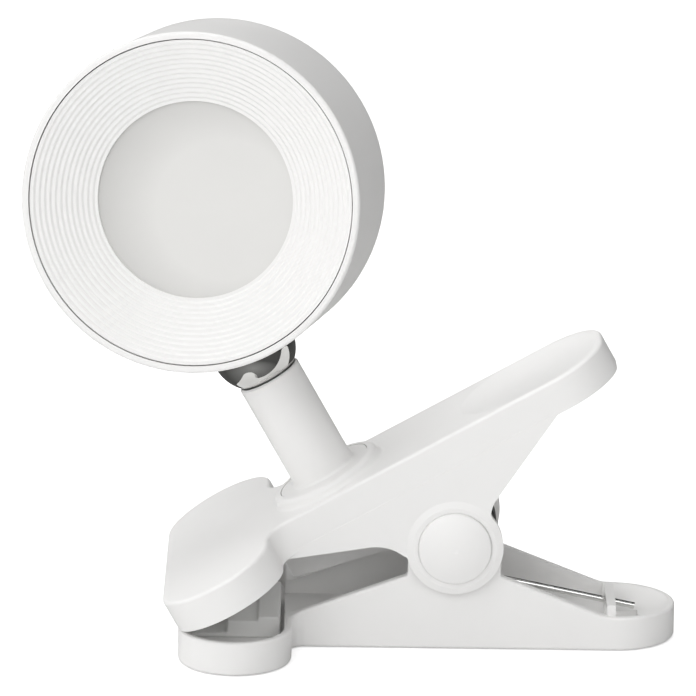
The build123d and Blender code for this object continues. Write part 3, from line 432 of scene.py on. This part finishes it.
finishes = {
    "head_shell": head_white,
    "rear_cover": cover_white,
    "power_button": button_white,
    "baffle_ring": baffle_white,
    "diffuser": window_opal,
    "upper_lever": upper_white,
    "lower_lever": lower_white,
    "post": post_white,
    "pivot_cap_near": cap_white,
    "pivot_cap_far": cap_white,
    "spring_spool": spool_white,
    "mid_frame": frame_white,
    "reflector_ring": reflector_white,
    "socket_cup": cup_dark,
    "tact_switch": switch_dark,
    "led_chips": chip_yellow,
    "battery_cell": sleeve_blue,
    "chrome_ball": ball_chrome,
    "torsion_spring": wire_steel,
    "pivot_pin": pin_steel,
    "ball_stud": pin_steel,
    "stud_nut": zinc_steel,
    "post_screws": zinc_steel,
    "cover_screws": zinc_steel,
    "board_screws": zinc_steel,
    "usb_socket": port_steel,
    "lower_grip_pad": pad_rubber,
    "upper_grip_pad": pad_rubber,
    "led_board": light_mask,
    "control_board": control_mask,
    "led_leads": lead_cover,
    "battery_leads": lead_cover,
}
for name, finish in finishes.items():
    shown = nodes[name]
    shown.data.materials.clear()
    shown.data.materials.append(finish)


def mesh_piece(name, mesh, material):
    """A new object with that mesh and material, in the scene."""
    piece = bpy.data.objects.new(name, mesh)
    bpy.context.scene.collection.objects.link(piece)
    mesh.materials.clear()
    mesh.materials.append(material)
    return piece


def stepped_block(shape, heights, place, width):
    """A stepped block with rounded edges in the mesh: place turns (run, rise, across) into a point."""
    outline = [(0.0, 0.0)]
    run = 0.0
    for length, height in zip(pad_tread_lengths, heights):
        outline += [(run, height), (run + length, height)]
        run += length
    outline.append((run, 0.0))
    near, far = [[shape.verts.new(place(u, v, w)) for u, v in outline] for w in (-width / 2, width / 2)]
    shape.faces.new(near)
    shape.faces.new(reversed(far))
    for i in range(len(near)):
        j = (i + 1) % len(near)
        shape.faces.new((near[j], near[i], far[i], far[j]))
    bmesh.ops.recalc_face_normals(shape, faces=shape.faces)
    sharp = [edge for edge in shape.edges if edge.calc_face_angle() > sharp_angle]
    bmesh.ops.bevel(shape, geom=sharp, offset=pad_edge, segments=pad_edge_segments, profile=0.5,
                    affect="EDGES")


def tread_pad(name, heights, corner, run_dir, rise_dir, width):
    """A stepped rubber pad whose tip lies at corner, with steps that rise along the run."""
    cross = rise_dir.cross(run_dir)

    def place(run, rise, across):
        return corner + run_dir * run + rise_dir * rise + cross * across

    shape = bmesh.new()
    stepped_block(shape, heights, place, width)
    for face in shape.faces:
        face.smooth = face.calc_area() < flat_area
    mesh = bpy.data.meshes.new(name)
    shape.to_mesh(mesh)
    shape.free()
    return mesh_piece(name, mesh, pad_rubber)


def grip_pads():
    """Both pads with rounded edges, in place of their plainer solids."""
    low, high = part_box("lower_grip_pad")
    width = high.y - low.y
    tip = Vector((low.x, (low.y + high.y) / 2, low.z))
    lower = tread_pad("lower_tread_pad", lower_pad_steps, tip, Vector((1, 0, 0)), Vector((0, 0, 1)), width)
    corners = [v.co for v in nodes["upper_grip_pad"].data.vertices]
    run = min((place - pivot).dot(lever_along) for place in corners)
    rise = max((place - pivot).dot(lever_up) for place in corners)
    tip = pivot + lever_along * run + lever_up * rise
    upper = tread_pad("upper_tread_pad", upper_pad_steps, tip, lever_along, -lever_up, width)
    for piece, body, node_name in ((lower, "base", "lower_grip_pad"), (upper, "upper", "upper_grip_pad")):
        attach(piece, body)
        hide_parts(node_name)


def spring_wire():
    """The spring, a copy of its node's mesh, in place of the node."""
    source = nodes["torsion_spring"]
    piece = mesh_piece("spring_wire", source.data.copy(), wire_steel)
    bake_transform(piece)
    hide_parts("torsion_spring")


def floor():
    """A plain pale floor, lifted to white for the camera. Mirrored, it is painted dark as shade, with a
    soft painted pool of light.
    """
    shape = bmesh.new()
    bmesh.ops.create_circle(shape, cap_ends=True, segments=floor_sides, radius=floor_reach)
    mesh = bpy.data.meshes.new("floor")
    shape.to_mesh(mesh)
    shape.free()
    material, tree, shader = new_material("pale_floor")
    shader.inputs["Roughness"].default_value = floor_roughness
    shader.inputs["Specular IOR Level"].default_value = floor_gloss
    shader.inputs["Emission Color"].default_value = (1, 1, 1, 1)
    ray = node(tree, "ShaderNodeLightPath")
    # Seen in mirrors the floor is painted dark as shade, with a painted pool of light that fades out around
    # a spot in front of the lamp
    painted_light = spread(tree, distance_from(tree, painted_light_place), 1.0, 0.0, 0.0, painted_light_reach)
    tone = node(tree, "ShaderNodeMix", {"A": (*floor_tone, 1)}, data_type="RGBA")
    tree.links.new(ray.outputs["Is Glossy Ray"], tone.inputs["Factor"])
    tree.links.new(two_tone(tree, painted_light, mirrored_floor, mirrored_painted_light), tone.inputs["B"])
    tree.links.new(tone.outputs["Result"], shader.inputs["Base Color"])
    lift = node(tree, "ShaderNodeMath", {1: floor_lift}, operation="MULTIPLY")
    tree.links.new(ray.outputs["Is Camera Ray"], lift.inputs[0])
    tree.links.new(lift.outputs[0], shader.inputs["Emission Strength"])
    piece = mesh_piece("floor", mesh, material)
    piece.location.z = cad_box[0].z - floor_gap


def soft_box(name, place, size, power):
    """A square soft light that looks at the lamp."""
    light = bpy.data.lights.new(name, "AREA")
    light.shape = "SQUARE"
    light.size = size
    light.energy = power
    lamp = bpy.data.objects.new(name, light)
    lamp.location = place
    target = (cad_box[0] + cad_box[1]) / 2
    lamp.rotation_euler = (target - place).to_track_quat("-Z", "Y").to_euler()
    bpy.context.scene.collection.objects.link(lamp)


def white_room():
    """White to the camera and dark in mirrors. As light, a glowing wall on the left and one behind."""
    world = bpy.data.worlds.new("white_room")
    world.use_nodes = True
    bpy.context.scene.world = world
    tree = world.node_tree
    background = tree.nodes["Background"]
    background.inputs["Color"].default_value = (1, 1, 1, 1)
    ray = node(tree, "ShaderNodeLightPath")
    place = node(tree, "ShaderNodeTexCoord")
    walls = node(tree, "ShaderNodeMath", operation="ADD")
    for i, (toward, strength) in enumerate((((-1, 0, 0), room_left), ((0, 1, 0), room_back))):
        side = node(tree, "ShaderNodeVectorMath", {1: toward}, operation="DOT_PRODUCT")
        near_side = node(tree, "ShaderNodeMath", {1: 0.0}, operation="MAXIMUM")
        wall = node(tree, "ShaderNodeMath", {1: strength}, operation="MULTIPLY")
        tree.links.new(place.outputs["Generated"], side.inputs[0])
        tree.links.new(side.outputs["Value"], near_side.inputs[0])
        tree.links.new(near_side.outputs[0], wall.inputs[0])
        tree.links.new(wall.outputs[0], walls.inputs[i])
    dimmed = node(tree, "ShaderNodeMath", operation="MULTIPLY")
    tree.links.new(walls.outputs[0], dimmed.inputs[0])
    in_mirrors = spread(tree, ray.outputs["Is Glossy Ray"], 1.0, mirrored_room, start=0.0, stop=1.0)
    tree.links.new(in_mirrors, dimmed.inputs[1])
    seen = node(tree, "ShaderNodeMath", operation="MAXIMUM")
    tree.links.new(dimmed.outputs[0], seen.inputs[0])
    tree.links.new(ray.outputs["Is Camera Ray"], seen.inputs[1])
    tree.links.new(seen.outputs[0], background.inputs["Strength"])


def studio():
    """Floor, lights, white surroundings and plain colour handling."""
    floor()
    for name, (place, size, power) in soft_boxes.items():
        soft_box(name, place, size, power)
    white_room()
    bpy.context.scene.view_settings.view_transform = "Standard"


def photo_camera():
    """The camera, turned and rolled as the photograph was taken."""
    a, e, r = camera_azimuth, camera_elevation, camera_roll
    back = Vector((sin(a) * cos(e), -cos(a) * cos(e), sin(e)))
    level = Vector((cos(a), sin(a), 0))
    rise = back.cross(level)
    right = level * cos(r) + rise * sin(r)
    up = rise * cos(r) - level * sin(r)
    data = bpy.data.cameras.new("photo_camera")
    data.lens = camera_lens
    data.sensor_width = camera_sensor
    camera = bpy.data.objects.new("photo_camera", data)
    camera.matrix_world = Matrix.Translation(camera_place) @ Matrix((right, up, back)).transposed().to_4x4()
    bpy.context.scene.collection.objects.link(camera)
    bpy.context.scene.camera = camera


grip_pads()
spring_wire()
studio()
photo_camera()
